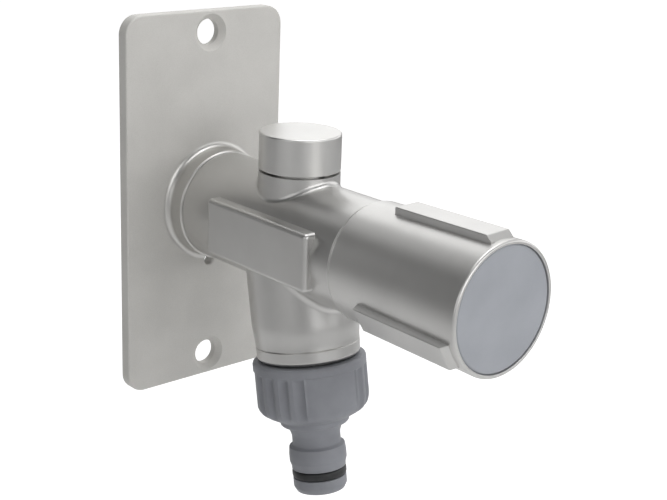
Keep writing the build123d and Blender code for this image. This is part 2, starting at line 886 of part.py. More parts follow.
def make_check_spring():
    low = poppet_top() + poppet_thickness + spring_wire / 2 + seat_gap
    high = check_guide() - spring_wire / 2 - seat_gap
    pitch = (high - low) / spring_turns
    path = Helix(pitch, high - low, spring_radius)
    start = Plane(origin=path @ 0, z_dir=path % 0)
    wire = sweep(start * Circle(spring_wire / 2), path=path, is_frenet=True)
    climb = atan2(pitch, 2 * pi * spring_radius)
    print("check spring: least gap between turns", round(pitch * cos(climb) - spring_wire, 2), "mm")
    return outlet_axis.location * Pos(0, 0, low) * wire


# Hose coupling

def nut_top():
    return outlet_end + nut_top_gap


def nut_shoulder():
    return nut_top() + nut_grip_length + nut_shoulder_length


def nut_end():
    cone_end = nut_shoulder() + nut_lower_corner_length + nut_cone_length
    return cone_end + nut_hub_step_length + nut_hub_length


def flange_top():
    return nipple_end() + 2 * seat_gap + flat_washer_thickness


def flange_end():
    return flange_top() + spigot_flange_thickness


def make_coupling_nut():
    top = nut_top()
    grip_end = top + nut_grip_length
    shoulder = nut_shoulder()
    cone_start = shoulder + nut_lower_corner_length
    cone_end = cone_start + nut_cone_length
    end = nut_end()
    nut = turned([(0, top), (nut_rim_radius, top), (nut_radius, top + nut_rim_height),
                  (nut_radius, grip_end), (nut_radius - nut_upper_corner, grip_end + nut_upper_corner_length),
                  (nut_shoulder_radius, shoulder), (nut_shoulder_radius - nut_lower_corner, cone_start),
                  (nut_cone_radius, cone_end), (nut_hub_radius, cone_end + nut_hub_step_length),
                  (nut_hub_radius, end - nut_hub_round), (nut_hub_radius - nut_hub_round, end), (0, end)],
                 outlet_axis)
    flute = flute_cutter()
    panel = panel_cutter()
    group_span = 360 / nut_flute_groups
    panel_middle = nut_first_flute + (group_span - (nut_flutes_in_group - 1) * nut_flute_pitch) / 2
    for group in spread(nut_flute_groups):
        nut -= outlet_axis.location * Rot(0, 0, panel_middle + group - 90) * panel
        for number in range(nut_flutes_in_group):
            turn = nut_first_flute - number * nut_flute_pitch + group
            nut -= outlet_axis.location * Rot(0, 0, turn - 90) * flute
    nut -= rod(nipple_thread_radius + thread_gap, top - 1, flange_end() + seat_gap, outlet_axis)
    return nut - rod(spigot_stem_radius + running_gap, top, end + 1, outlet_axis)


def flute_cutter():
    reach = nut_radius + nut_flute_radius - nut_flute_depth
    start = nut_top() + nut_flute_inset
    length = nut_shoulder() + nut_lower_corner_length - start
    cutter = Pos(reach, 0, start + length / 2) * Cylinder(nut_flute_radius, length)
    return cutter + Pos(reach, 0, start) * Sphere(nut_flute_radius)


def panel_cutter():
    start = nut_top() + nut_flute_inset
    length = nut_shoulder() - start
    sector = Cylinder(nut_radius + 2, length, arc_size=nut_panel_span)
    cutter = sector - Cylinder(nut_radius - nut_panel_depth, length + 1)
    return Pos(0, 0, start + length / 2) * Rot(0, 0, -nut_panel_span / 2) * cutter


def make_flat_washer():
    low = nipple_end() + seat_gap
    return tube(flat_washer_inner, flat_washer_outer, low, low + flat_washer_thickness, outlet_axis)


def spigot_neck():
    return nut_end() + spigot_stem_drop + spigot_taper_length + spigot_neck_round_length


def spigot_collar():
    return spigot_neck() + spigot_neck_length + spigot_lip_length + spigot_collar_rise


def spigot_ring_top():
    return spigot_collar() + spigot_collar_length + spigot_collar_fall + spigot_land_length


def make_hose_spigot():
    bore = spigot_bore_radius
    stem_end = nut_end() + spigot_stem_drop
    neck = spigot_neck()
    lip = neck + spigot_neck_length + spigot_lip_length
    collar = spigot_collar()
    collar_end = collar + spigot_collar_length
    ring_top = spigot_ring_top()
    ring_end = ring_top + spigot_ring_width
    tip_end = ring_end + spigot_tip_length
    end = tip_end + spigot_end_length
    return turned([(bore, flange_top()), (spigot_flange_radius, flange_top()),
                   (spigot_flange_radius, flange_end()), (spigot_stem_radius, flange_end()),
                   (spigot_stem_radius, stem_end - spigot_stem_edge_length),
                   (spigot_stem_radius - spigot_stem_edge, stem_end),
                   (spigot_neck_radius + spigot_neck_round, neck - spigot_neck_round_length),
                   (spigot_neck_radius, neck), (spigot_neck_radius, neck + spigot_neck_length),
                   (spigot_lip_radius, lip), (spigot_collar_radius, collar),
                   (spigot_collar_radius, collar_end), (spigot_land_radius, collar_end + spigot_collar_fall),
                   (spigot_land_radius, ring_top), (spigot_ring_floor, ring_top),
                   (spigot_ring_floor, ring_end), (spigot_tip_radius, ring_end),
                   (spigot_tip_radius, tip_end), (spigot_end_radius, end),
                   (bore + spigot_bore_edge, end), (bore, end - spigot_bore_edge)], outlet_axis)


def make_spigot_ring():
    low = spigot_ring_top() + seat_gap
    high = spigot_ring_top() + spigot_ring_width - seat_gap
    ring = tube(spigot_ring_floor + fixed_gap, spigot_ring_radius, low, high, outlet_axis)
    circles = ring.edges().filter_by(GeomType.CIRCLE)
    outer_edges = circles.sort_by(lambda edge: edge.radius)[-2:]
    return fillet(outer_edges, spigot_ring_round)


makers = {
    "wall_plate": make_wall_plate,
    "wall_gasket": make_wall_gasket,
    "set_screw": make_set_screw,
    "tap_body": make_tap_body,
    "wall_tube": make_wall_tube,
    "inlet_fitting": make_inlet_fitting,
    "valve_seat": make_valve_seat,
    "seat_washer": make_seat_washer,
    "valve_plunger": make_valve_plunger,
    "washer_screw": make_washer_screw,
    "plunger_guide": make_plunger_guide,
    "spindle": make_spindle,
    "spindle_seals": make_spindle_seals,
    "thrust_washer": make_thrust_washer,
    "spindle_clip": make_spindle_clip,
    "bonnet": make_bonnet,
    "bonnet_seal": make_bonnet_seal,
    "knob_shell": make_knob_shell,
    "knob_disc": make_knob_disc,
    "knob_hub": make_knob_hub,
    "knob_screw": make_knob_screw,
    "vent_cage": make_vent_cage,
    "vent_float": make_vent_float,
    "vent_seat": make_vent_seat,
    "vent_cap": make_vent_cap,
    "vent_filter": make_vent_filter,
    "outlet_nipple": make_outlet_nipple,
    "check_body": make_check_body,
    "check_seal": make_check_seal,
    "check_poppet": make_check_poppet,
    "check_spring": make_check_spring,
    "coupling_nut": make_coupling_nut,
    "flat_washer": make_flat_washer,
    "hose_spigot": make_hose_spigot,
    "spigot_ring": make_spigot_ring,
}

os.makedirs("parts", exist_ok=True)
for name, make in makers.items():
    part = make()
    export_step(part, f"parts/{name}.step")
    print(name, round(part.volume, 1), "mm3")
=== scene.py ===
import math

import bmesh
import bpy
from mathutils import Matrix, Vector


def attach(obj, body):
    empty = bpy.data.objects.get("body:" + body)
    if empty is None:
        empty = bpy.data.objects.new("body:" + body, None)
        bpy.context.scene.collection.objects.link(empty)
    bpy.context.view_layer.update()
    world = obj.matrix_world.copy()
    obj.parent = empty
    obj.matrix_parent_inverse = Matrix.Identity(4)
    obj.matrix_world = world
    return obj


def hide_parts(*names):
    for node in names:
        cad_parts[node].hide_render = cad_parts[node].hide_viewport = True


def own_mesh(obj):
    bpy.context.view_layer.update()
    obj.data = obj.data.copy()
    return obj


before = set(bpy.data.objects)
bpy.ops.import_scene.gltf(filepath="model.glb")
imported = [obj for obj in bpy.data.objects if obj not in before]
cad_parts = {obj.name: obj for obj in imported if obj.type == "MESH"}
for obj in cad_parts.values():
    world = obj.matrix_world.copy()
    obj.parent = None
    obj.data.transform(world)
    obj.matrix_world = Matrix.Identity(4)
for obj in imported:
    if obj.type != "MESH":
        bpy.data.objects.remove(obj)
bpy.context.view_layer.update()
print("frame loaded:", len(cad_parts), "solids")

mm = 0.001
near = 1e-6  # points closer than this, in metres, count as one
scene = bpy.context.scene
crossStation = 46.8  # where the outlet and the vent leave the tap's barrel
outletTilt = math.radians(10.6)

# each axis turns a piece that was drawn along +Z
axes = {
    "tap": {"turn": (math.pi / 2, 0, 0), "start": (0, 0, 0)},
    "vent": {"turn": (0, 0, 0), "start": (0, -crossStation, 0)},
    "outlet": {"turn": (math.pi - outletTilt, 0, 0), "start": (0, -crossStation, 0)},
}


# shaping by hand, in code

def deselectAll():
    if bpy.context.mode != "OBJECT":
        bpy.ops.object.mode_set(mode="OBJECT")
    bpy.ops.object.select_all(action="DESELECT")


def chooseOnly(piece):
    deselectAll()
    piece.select_set(True)
    bpy.context.view_layer.objects.active = piece


def selectWhere(piece, wanted, kind="VERT"):
    mesh = bmesh.from_edit_mesh(piece.data)
    bpy.ops.mesh.select_mode(type=kind)
    bpy.ops.mesh.select_all(action="DESELECT")
    parts = {"VERT": mesh.verts, "EDGE": mesh.edges, "FACE": mesh.faces}[kind]
    for part in parts:
        if wanted(part):
            part.select_set(True)
    bmesh.update_edit_mesh(piece.data)


def cornerReach(before, corner, after, rounding):
    opening = (before - corner).angle(after - corner)
    return rounding * mm / math.tan(opening / 2)


# starts a piece as one line through points in metres, and stays in edit mode
def drawLine(name, points):
    deselectAll()
    bpy.ops.mesh.primitive_plane_add(size=mm)
    piece = bpy.context.object
    piece.name = name
    piece.data.name = name
    bpy.ops.object.mode_set(mode="EDIT")
    bpy.ops.mesh.select_mode(type="VERT")
    bpy.ops.mesh.select_all(action="SELECT")
    bpy.ops.mesh.merge(type="CENTER")
    bpy.ops.transform.translate(value=points[0])
    for before, point in zip(points, points[1:]):
        bpy.ops.mesh.extrude_vertices_move(TRANSFORM_OT_translate={"value": point - before})
    return piece


# draws an outline of (radius, height, rounding) points, in mm, and spins it round Z
def turnOutline(name, outline, steps=96, closed=True, arcSteps=4):
    points = [Vector((point[0] * mm, 0, point[1] * mm)) for point in outline]
    piece = drawLine(name, points)
    if closed:
        ends = (points[0], points[-1])
        selectWhere(piece, lambda vertex: any((vertex.co - end).length < near for end in ends))
        bpy.ops.mesh.edge_face_add()
    for number, entry in enumerate(outline):
        if len(entry) < 3:
            continue
        corner = points[number]
        reach = cornerReach(points[number - 1], corner, points[(number + 1) % len(points)], entry[2])
        selectWhere(piece, lambda vertex: (vertex.co - corner).length < near)
        bpy.ops.mesh.bevel(offset=reach, segments=arcSteps, affect="VERTICES", profile=0.5)
    bpy.ops.mesh.select_all(action="SELECT")
    bpy.ops.mesh.spin(steps=steps, angle=2 * math.pi, center=(0, 0, 0), axis=(0, 0, 1),
                      use_auto_merge=True)
    closeShape(piece)
    return piece


def settle(piece, turn=(0, 0, 0), start=(0, 0, 0)):
    chooseOnly(piece)
    piece.rotation_euler = turn
    piece.location = Vector(start) * mm
    bpy.ops.object.transform_apply(location=True, rotation=True, scale=True)


def joinShape(piece, other, operation):
    chooseOnly(piece)
    modifier = piece.modifiers.new(operation.lower(), "BOOLEAN")
    modifier.operation = operation
    modifier.solver = "EXACT"
    modifier.object = other
    bpy.ops.object.modifier_apply(modifier=modifier.name)
    bpy.data.objects.remove(other)


# merges doubled points and turns every face outward
def closeShape(piece):
    chooseOnly(piece)
    bpy.ops.object.mode_set(mode="EDIT")
    bpy.ops.mesh.select_mode(type="VERT")
    bpy.ops.mesh.select_all(action="SELECT")
    bpy.ops.mesh.remove_doubles(threshold=near)
    bpy.ops.mesh.normals_make_consistent(inside=False)
    bpy.ops.object.mode_set(mode="OBJECT")


def keepFlats(piece):
    chooseOnly(piece)
    modifier = piece.modifiers.new("flats", "WEIGHTED_NORMAL")
    modifier.keep_sharp = True
    modifier.weight = 60
    bpy.ops.object.modifier_apply(modifier=modifier.name)


def finishPiece(piece, axis, body, finish, replaced, sharpAngle=32):
    if axis is not None:
        settle(piece, axes[axis]["turn"], axes[axis]["start"])
    closeShape(piece)
    bpy.ops.object.shade_smooth_by_angle(angle=math.radians(sharpAngle))
    piece.data.materials.clear()
    piece.data.materials.append(finish)
    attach(piece, body)
    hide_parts(*replaced)
    print("made", piece.name, len(piece.data.polygons), "faces")


# finishes

def addNode(tree, kind, **settings):
    node = tree.nodes.new("ShaderNode" + kind)
    for key, value in settings.items():
        if key in node.inputs:
            node.inputs[key].default_value = value
        else:
            setattr(node, key, value)
    return node


def addNoise(tree, place, scale, detail=2.0):
    noise = addNode(tree, "TexNoise", Scale=scale, Detail=detail)
    tree.links.new(place, noise.inputs["Vector"])
    return noise.outputs["Fac"]


def addRamp(tree, value, stops):
    ramp = addNode(tree, "ValToRGB")
    while len(ramp.color_ramp.elements) < len(stops):
        ramp.color_ramp.elements.new(0.5)
    for element, (position, tone) in zip(ramp.color_ramp.elements, stops):
        element.position = position
        element.color = (*tone, 1)
    tree.links.new(value, ramp.inputs["Fac"])
    return ramp.outputs["Color"]


def addRange(tree, value, low, high, start=0.3, end=0.7):
    spread = addNode(tree, "MapRange")
    for key, number in (("From Min", start), ("From Max", end), ("To Min", low), ("To Max", high)):
        spread.inputs[key].default_value = number
    tree.links.new(value, spread.inputs["Value"])
    return spread.outputs["Result"]


def addBump(tree, height, strength, distance, before=None):
    bump = addNode(tree, "Bump", Strength=strength, Distance=distance)
    tree.links.new(height, bump.inputs["Height"])
    if before is not None:
        tree.links.new(before, bump.inputs["Normal"])
    return bump.outputs["Normal"]


def startMaterial(name, look):
    material = bpy.data.materials.new(name)
    material.use_nodes = True
    tree = material.node_tree
    shader = tree.nodes["Principled BSDF"]
    shader.inputs["Metallic"].default_value = look.get("metallic", 0.0)
    shader.inputs["Specular IOR Level"].default_value = look.get("specular", 0.5)
    place = addNode(tree, "TexCoord").outputs["Object"]
    return material, tree, shader, place


# a share within a reach of the tap's axis, and 1 outside it
def insideShare(tree, place, reach, share):
    flat = addNode(tree, "VectorMath", operation="MULTIPLY")
    flat.inputs[1].default_value = (1, 0, 1)
    tree.links.new(place, flat.inputs[0])
    away = addNode(tree, "VectorMath", operation="LENGTH")
    tree.links.new(flat.outputs["Vector"], away.inputs[0])
    return addRange(tree, away.outputs["Value"], share, 1.0, (reach - 0.5) * mm, reach * mm)


# the collar is smoother than the plate round it, and its colour is made a little darker there as painted
# shade
def smoothAndShadeCollar(tree, place, tone, gloss, collar):
    # painted shade: the base colour is scaled down within the collar's reach
    paintedShadeNode = addNode(tree, "VectorMath", operation="SCALE")
    tree.links.new(tone, paintedShadeNode.inputs[0])
    tree.links.new(insideShare(tree, place, collar["reach"], collar["paintedShadeShare"]), paintedShadeNode.inputs["Scale"])
    smoother = addNode(tree, "Math", operation="MULTIPLY")
    tree.links.new(gloss, smoother.inputs[0])
    tree.links.new(insideShare(tree, place, collar["reach"], collar["glossShare"]), smoother.inputs[1])
    return paintedShadeNode.outputs["Vector"], smoother.outputs[0]


# two close tones in soft clouds, a fine grain in gloss and relief, and a slow swell in the surface
def makeFinish(name, look):
    material, tree, shader, place = startMaterial(name, look)
    cloud = addNoise(tree, place, look["cloudScale"], 4.0)
    tone = addRamp(tree, cloud, [(0.32, look["tones"][0]), (0.68, look["tones"][1])])
    grain = addNoise(tree, place, look["grainScale"], 2.0)
    gloss = addRange(tree, grain, *look["roughness"])
    if "collar" in look:
        tone, gloss = smoothAndShadeCollar(tree, place, tone, gloss, look["collar"])
    normal = addBump(tree, grain, look["grainBump"], look["grainDepth"] * mm)
    if "swellScale" in look:
        swell = addNoise(tree, place, look["swellScale"], 1.0)
        normal = addBump(tree, swell, look["swellBump"], look["swellDepth"] * mm, normal)
    tree.links.new(tone, shader.inputs["Base Color"])
    tree.links.new(gloss, shader.inputs["Roughness"])
    tree.links.new(normal, shader.inputs["Normal"])
    return material


satinLook = {"tones": ((0.625, 0.62, 0.608), (0.67, 0.665, 0.652)), "cloudScale": 60.0,
             "grainScale": 4200.0, "roughness": (0.34, 0.42), "grainBump": 0.12, "grainDepth": 0.02,
             "swellScale": 55.0, "swellBump": 0.10, "swellDepth": 0.10, "metallic": 1.0}
# the plate's collar is made smoother, and its colour is darkened as painted shade
plateLook = dict(satinLook, tones=((0.69, 0.682, 0.661), (0.735, 0.726, 0.704)),
                 roughness=(0.72, 0.82), grainScale=3200.0, grainBump=0.2,
                 collar={"reach": 19.8, "paintedShadeShare": 0.8, "glossShare": 0.46})
capLook = dict(satinLook, tones=((0.665, 0.66, 0.647), (0.71, 0.705, 0.69)),
               roughness=(0.30, 0.38))
bodyLook = dict(satinLook, tones=((0.58, 0.575, 0.564), (0.62, 0.616, 0.604)),
                roughness=(0.31, 0.39))
discLook = {"tones": ((0.395, 0.412, 0.448), (0.43, 0.448, 0.485)), "cloudScale": 90.0,
            "grainScale": 2600.0, "roughness": (0.40, 0.52), "grainBump": 0.10, "grainDepth": 0.02,
            "specular": 0.45}
couplingLook = {"tones": ((0.255, 0.262, 0.286), (0.295, 0.303, 0.33)), "cloudScale": 120.0,
                "grainScale": 2200.0, "roughness": (0.46, 0.60), "grainBump": 0.25, "grainDepth": 0.03,
                "swellScale": 160.0, "swellBump": 0.08, "swellDepth": 0.05, "specular": 0.4}
rubberLook = {"tones": ((0.013, 0.014, 0.015), (0.024, 0.025, 0.027)), "cloudScale": 300.0,
              "grainScale": 3000.0, "roughness": (0.38, 0.5), "grainBump": 0.2, "grainDepth": 0.02}
brassLook = dict(satinLook, tones=((0.60, 0.43, 0.21), (0.68, 0.50, 0.26)), roughness=(0.24, 0.36))
steelLook = dict(satinLook, tones=((0.40, 0.40, 0.395), (0.46, 0.46, 0.455)), roughness=(0.30, 0.44))
feltLook = {"tones": ((0.36, 0.36, 0.34), (0.50, 0.50, 0.47)), "cloudScale": 1500.0,
            "grainScale": 5000.0, "roughness": (0.85, 0.95), "grainBump": 0.8, "grainDepth": 0.15}
innerLook = {"tones": ((0.60, 0.60, 0.57), (0.67, 0.67, 0.64)), "cloudScale": 150.0,
             "grainScale": 2500.0, "roughness": (0.4, 0.5), "grainBump": 0.1, "grainDepth": 0.02}

finishes = {
    "plate_metal": makeFinish("satinPlate", plateLook),
    "body_metal": makeFinish("satinBody", bodyLook),
    "cap_metal": makeFinish("satinCap", capLook),
    "knob_metal": makeFinish("satinKnob", satinLook),
    "nickel_brass": makeFinish("nickelledBrass", steelLook),
    "tube_steel": makeFinish("tubeSteel", steelLook),
    "screw_steel": makeFinish("screwSteel", steelLook),
    "plain_brass": makeFinish("plainBrass", brassLook),
    "disc_plastic": makeFinish("discPlastic", discLook),
    "coupling_plastic": makeFinish("couplingPlastic", couplingLook),
    "inner_plastic": makeFinish("innerPlastic", innerLook),
    "seal_rubber": makeFinish("sealRubber", rubberLook),
    "filter_felt": makeFinish("filterFelt", feltLook),
}

# every solid that stays in view takes the finish of its slot
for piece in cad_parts.values():
    slotName = piece.data.materials[0].name
    piece.data.materials.clear()
    piece.data.materials.append(finishes[slotName])
print("finishes made:", len(finishes))


# small sizes that several pieces share, in mm

fineEdge = 0.2
smallEdge = 0.3
past = 1.0  # how far a cutter runs past the face that it opens
skin = 0.05  # how far a cutter stands off a face that it must not share


# wall plate with its collar

plate = {"width": 60.0, "height": 122.0, "thickness": 4.0, "corner": 6.0, "edge": 0.6,
         "middleX": -3.2, "middleZ": 0.8, "holeLine": -1.6, "screwSpacing": 108.0,
         "screwHole": 4.1, "screwSink": 5.8, "weepHole": 1.7, "weepSink": 2.0, "weepHeight": -20.0,
         "sinkLand": 0.1, "sinkRelief": 0.15,
         "collar": 17.8, "collarBack": 1.0, "collarFront": 10.7, "collarEdge": 0.45,
         "collarFoot": 1.95, "footLift": 0.015, "collarRound": 1.9,
         "socket": 16.5, "socketRim": 16.75, "lip": 2.0, "tubeHole": 13.2,
         "gasketOuter": 17.2, "gasketDepth": 1.5}


def sunkHoleCutter(radius, sink, height):
    front = plate["thickness"]
    start = front - (sink - radius)
    mouth = sink + plate["sinkRelief"]
    cutter = turnOutline("holeCutter", [(0, -past), (radius, -past), (radius, start),
                                        (sink, front - plate["sinkLand"]), (mouth, front + skin),
                                        (mouth, front + past), (0, front + past)],
                         steps=72, closed=False)
    settle(cutter, axes["tap"]["turn"], (plate["holeLine"], 0, height))
    return cutter


# the plate's flat slab, with round corners and soft edges
def makeSlab():
    thickness = plate["thickness"] * mm
    deselectAll()
    bpy.ops.mesh.primitive_cube_add(size=1, location=(plate["middleX"] * mm, -thickness / 2,
                                                      plate["middleZ"] * mm))
    piece = bpy.context.object
    piece.name = "wallPlate"
    piece.scale = (plate["width"] * mm, thickness, plate["height"] * mm)
    bpy.ops.object.transform_apply(location=True, rotation=True, scale=True)
    bpy.ops.object.mode_set(mode="EDIT")
    selectWhere(piece, lambda edge: abs(edge.verts[0].co.y - edge.verts[1].co.y) > thickness / 2, "EDGE")
    bpy.ops.mesh.bevel(offset=plate["corner"] * mm, segments=14)
    selectWhere(piece, lambda edge: all(abs(vertex.co.y + thickness) < near for vertex in edge.verts),
                "EDGE")
    bpy.ops.mesh.bevel(offset=plate["edge"] * mm, segments=4)
    selectWhere(piece, lambda edge: all(abs(vertex.co.y) < near for vertex in edge.verts), "EDGE")
    bpy.ops.mesh.bevel(offset=fineEdge * mm, segments=1)
    bpy.ops.object.mode_set(mode="OBJECT")
    return piece


def makeCollar():
    radius, front, edge = plate["collar"], plate["collarFront"], plate["collarEdge"]
    foot = plate["thickness"] + plate["footLift"]
    reach = radius + plate["collarFoot"]
    collar = turnOutline("collar", [(0, plate["collarBack"]), (reach, plate["collarBack"]), (reach, foot),
                                    (radius, foot, plate["collarRound"]), (radius, front - edge, fineEdge),
                                    (radius - edge, front, fineEdge), (0, front)],
                         steps=128, closed=False, arcSteps=8)
    settle(collar, axes["tap"]["turn"])
    return collar


# the seat of the gasket, the tube's hole and the barrel's socket, in one cutter
def collarBoreCutter():
    front = plate["collarFront"]
    bore = turnOutline("boreCutter", [(0, -past), (plate["gasketOuter"], -past),
                                      (plate["gasketOuter"], plate["gasketDepth"]),
                                      (plate["tubeHole"], plate["gasketDepth"]),
                                      (plate["tubeHole"], plate["lip"]), (plate["socket"], plate["lip"]),
                                      (plate["socket"], front - fineEdge),
                                      (plate["socketRim"], front + skin),
                                      (plate["socketRim"], front + past), (0, front + past)],
                       steps=128, closed=False)
    settle(bore, axes["tap"]["turn"])
    return bore


def makeWallPlate():
    piece = makeSlab()
    joinShape(piece, makeCollar(), "UNION")
    joinShape(piece, collarBoreCutter(), "DIFFERENCE")
    for side in (-1, 1):
        height = plate["middleZ"] + side * plate["screwSpacing"] / 2
        joinShape(piece, sunkHoleCutter(plate["screwHole"], plate["screwSink"], height), "DIFFERENCE")
    weep = sunkHoleCutter(plate["weepHole"], plate["weepSink"], plate["weepHeight"])
    joinShape(piece, weep, "DIFFERENCE")
    joinShape(piece, setScrewCutter(), "DIFFERENCE")
    finishPiece(piece, None, "tap", finishes["plate_metal"], ["wall_plate"])
    keepFlats(piece)


setScrew = {"radius": 2.0, "station": 6.6, "inner": 13.2, "outer": 17.5, "point": 0.5, "edge": 0.25,
            "socket": 2.0, "socketFloor": 15.3, "cutterEnd": 19.0}


def setScrewCutter():
    hole, low = setScrew["radius"] + skin, setScrew["inner"] - skin
    cutter = turnOutline("setScrewCutter", [(0, low), (hole, low), (hole, setScrew["cutterEnd"]),
                                            (0, setScrew["cutterEnd"])], steps=48, closed=False)
    settle(cutter, (math.pi, 0, 0), (0, -setScrew["station"], 0))
    return cutter


def hexCutter(acrossFlats, low, high):
    deselectAll()
    bpy.ops.mesh.primitive_cylinder_add(vertices=6, radius=acrossFlats / 2 / math.cos(math.pi / 6) * mm,
                                        depth=(high - low) * mm, location=(0, 0, (low + high) / 2 * mm),
                                        rotation=(0, 0, math.radians(30)))
    return bpy.context.object


def makeSetScrew():
    radius, inner, outer = setScrew["radius"], setScrew["inner"], setScrew["outer"]
    piece = turnOutline("setScrew", [(0, inner), (radius - setScrew["point"], inner),
                                     (radius, inner + setScrew["point"]),
                                     (radius, outer, setScrew["edge"]), (0, outer)],
                        steps=48, closed=False)
    socket = hexCutter(setScrew["socket"], setScrew["socketFloor"], setScrew["cutterEnd"])
    joinShape(piece, socket, "DIFFERENCE")
    settle(piece, (math.pi, 0, 0), (0, -setScrew["station"], 0))
    finishPiece(piece, None, "tap", finishes["screw_steel"], ["set_screw"])


makeWallPlate()
makeSetScrew()

gasket = {"inner": 13.2, "outer": 17.15, "front": 1.45}
piece = turnOutline("wallGasket", [(gasket["inner"], 0, smallEdge), (gasket["outer"], 0, smallEdge),
                                   (gasket["outer"], gasket["front"], fineEdge),
                                   (gasket["inner"], gasket["front"], fineEdge)])
finishPiece(piece, "tap", "tap", finishes["seal_rubber"], ["wall_gasket"])


# wall tube and inlet fitting

thread = {"pitch": 1.814, "depth": 0.95, "flatShare": 0.12, "flankShare": 0.76, "ringsPerTurn": 8}


def threadRadius(crest, angle, height, low, high):
    turnShare = (height / thread["pitch"] - angle / (2 * math.pi)) % 1.0
    tooth = abs(2 * turnShare - 1)  # 1 at the root, 0 at the crest
    tooth = min(1.0, max(0.0, (tooth - thread["flatShare"]) / thread["flankShare"]))
    runIn = max(0.0, (height - low) / thread["pitch"])
    runOut = max(0.0, (high - height) / thread["pitch"])
    return crest - thread["depth"] * tooth * min(1.0, runIn, runOut)


# cuts a helical thread into the rings between two heights of a turned piece
def cutThread(piece, plain, crest, low, high):
    for vertex in piece.data.vertices:
        radius = math.hypot(vertex.co.x, vertex.co.y) / mm
        height = vertex.co.z / mm
        if abs(radius - plain) < 0.01 and low <= height <= high:
            angle = math.atan2(vertex.co.y, vertex.co.x)
            share = threadRadius(crest, angle, height, low, high) / radius
            vertex.co.x *= share
            vertex.co.y *= share
    piece.data.update()


def rings(radius, low, high, spacing):
    count = max(1, round((high - low) / spacing))
    return [(radius, low + (high - low) * number / count) for number in range(count + 1)]


def threadRings(radius, low, high):
    return rings(radius, low, high, thread["pitch"] / thread["ringsPerTurn"])


tube = {"inner": 11.5, "outer": 13.0, "back": -22.0, "front": 13.95}
piece = turnOutline("wallTube", [(tube["inner"], tube["back"], smallEdge),
                                 (tube["outer"], tube["back"], smallEdge),
                                 (tube["outer"], tube["front"], smallEdge),
                                 (tube["inner"], tube["front"], smallEdge)])
finishPiece(piece, "tap", "tap", finishes["tube_steel"], ["wall_tube"])

inlet = {"back": -28.0, "hexFront": -22.05, "hex": 22.0, "rimBack": 11.1, "rimFront": 11.4,
         "cornerSpare": 0.4, "backSlope": 1.0, "frontSlope": 0.6,
         "insert": 11.45, "insertBack": -27.0, "insertFront": -12.4, "insertEdge": 0.4,
         "mouth": 10.4, "threadMinor": 9.3, "threadStart": -26.9, "threadEnd": -16.0, "threadRest": 0.5,
         "seatHole": 4.8, "flange": 7.55, "flangeBack": -14.4}


# what the hexagon keeps after its corners are turned down at both ends
def makeHexLimit():
    back, front = inlet["back"], inlet["hexFront"]
    outer = inlet["hex"] / 2 / math.cos(math.pi / 6) + inlet["cornerSpare"]
    return turnOutline("hexLimit", [(0, back), (inlet["rimBack"], back), (outer, back + inlet["backSlope"]),
                                    (outer, front - inlet["frontSlope"]), (inlet["rimFront"], front),
                                    (0, front)], closed=False)


def makeInletBore():
    back, front = inlet["back"] - past, inlet["insertFront"] + past
    minor = inlet["threadMinor"]
    bore = turnOutline("boreCutter", [(0, back), (inlet["mouth"], back), (inlet["mouth"], inlet["back"]),
                                      *threadRings(minor, inlet["threadStart"], inlet["threadEnd"]),
                                      (inlet["seatHole"], inlet["threadEnd"]),
                                      (inlet["seatHole"], inlet["flangeBack"]),
                                      (inlet["flange"], inlet["flangeBack"]),
                                      (inlet["flange"], front), (0, front)], closed=False)
    cutThread(bore, minor, minor + thread["depth"], inlet["threadStart"],
              inlet["threadEnd"] - inlet["threadRest"])
    return bore


def makeInletFitting():
    piece = hexCutter(inlet["hex"], inlet["back"], inlet["hexFront"])
    piece.name = "inletFitting"
    settle(piece, (0, 0, math.radians(30)), piece.location / mm)
    joinShape(piece, makeHexLimit(), "INTERSECT")
    insert = turnOutline("insert", [(0, inlet["insertBack"]), (inlet["insert"], inlet["insertBack"]),
                                    (inlet["insert"], inlet["insertFront"], inlet["insertEdge"]),
                                    (0, inlet["insertFront"])], closed=False)
    joinShape(piece, insert, "UNION")
    joinShape(piece, makeInletBore(), "DIFFERENCE")
    finishPiece(piece, "tap", "tap", finishes["plain_brass"], ["inlet_fitting"])


makeInletFitting()


# knob: a slightly conical sleeve with three grip ribs, and the disc in its front

knob = {"back": 81.0, "front": 130.8, "backRadius": 18.0, "frontRadius": 19.1, "bore": 16.3,
        "recess": 17.9, "recessDepth": 3.8, "rimRound": 0.8, "backEdge": 0.85}

rib = {"count": 3, "first": 91.5, "width": 8.6, "back": 93.3, "front": 127.0, "top": 20.05,
       "rise": 0.6, "chamfer": 1.7, "edge": 0.25, "rootRound": 0.35, "rootReach": 18.27,
       "rootAngles": (164, 145, 127, 108, 90), "core": 17.45, "footInner": 16.95, "footOuter": 17.25,
       "footSpread": 1.3, "ankleSpread": 1.1}


# half of a rib's section as (reach, side) points; its root swings out into the sleeve
def ribSection():
    half, rounding = rib["width"] / 2, rib["rootRound"]
    middle = math.sqrt((rib["rootReach"] + rounding) ** 2 - (half + rounding) ** 2)
    points = [(rib["core"], 0), (rib["footInner"], half + rib["footSpread"]),
              (rib["footOuter"], half + rib["ankleSpread"])]
    for degrees in rib["rootAngles"]:
        angle = math.radians(degrees)
        points.append((middle + rounding * math.cos(angle), half + rounding - rounding * math.sin(angle)))
    points.append((rib["top"], half))
    return points


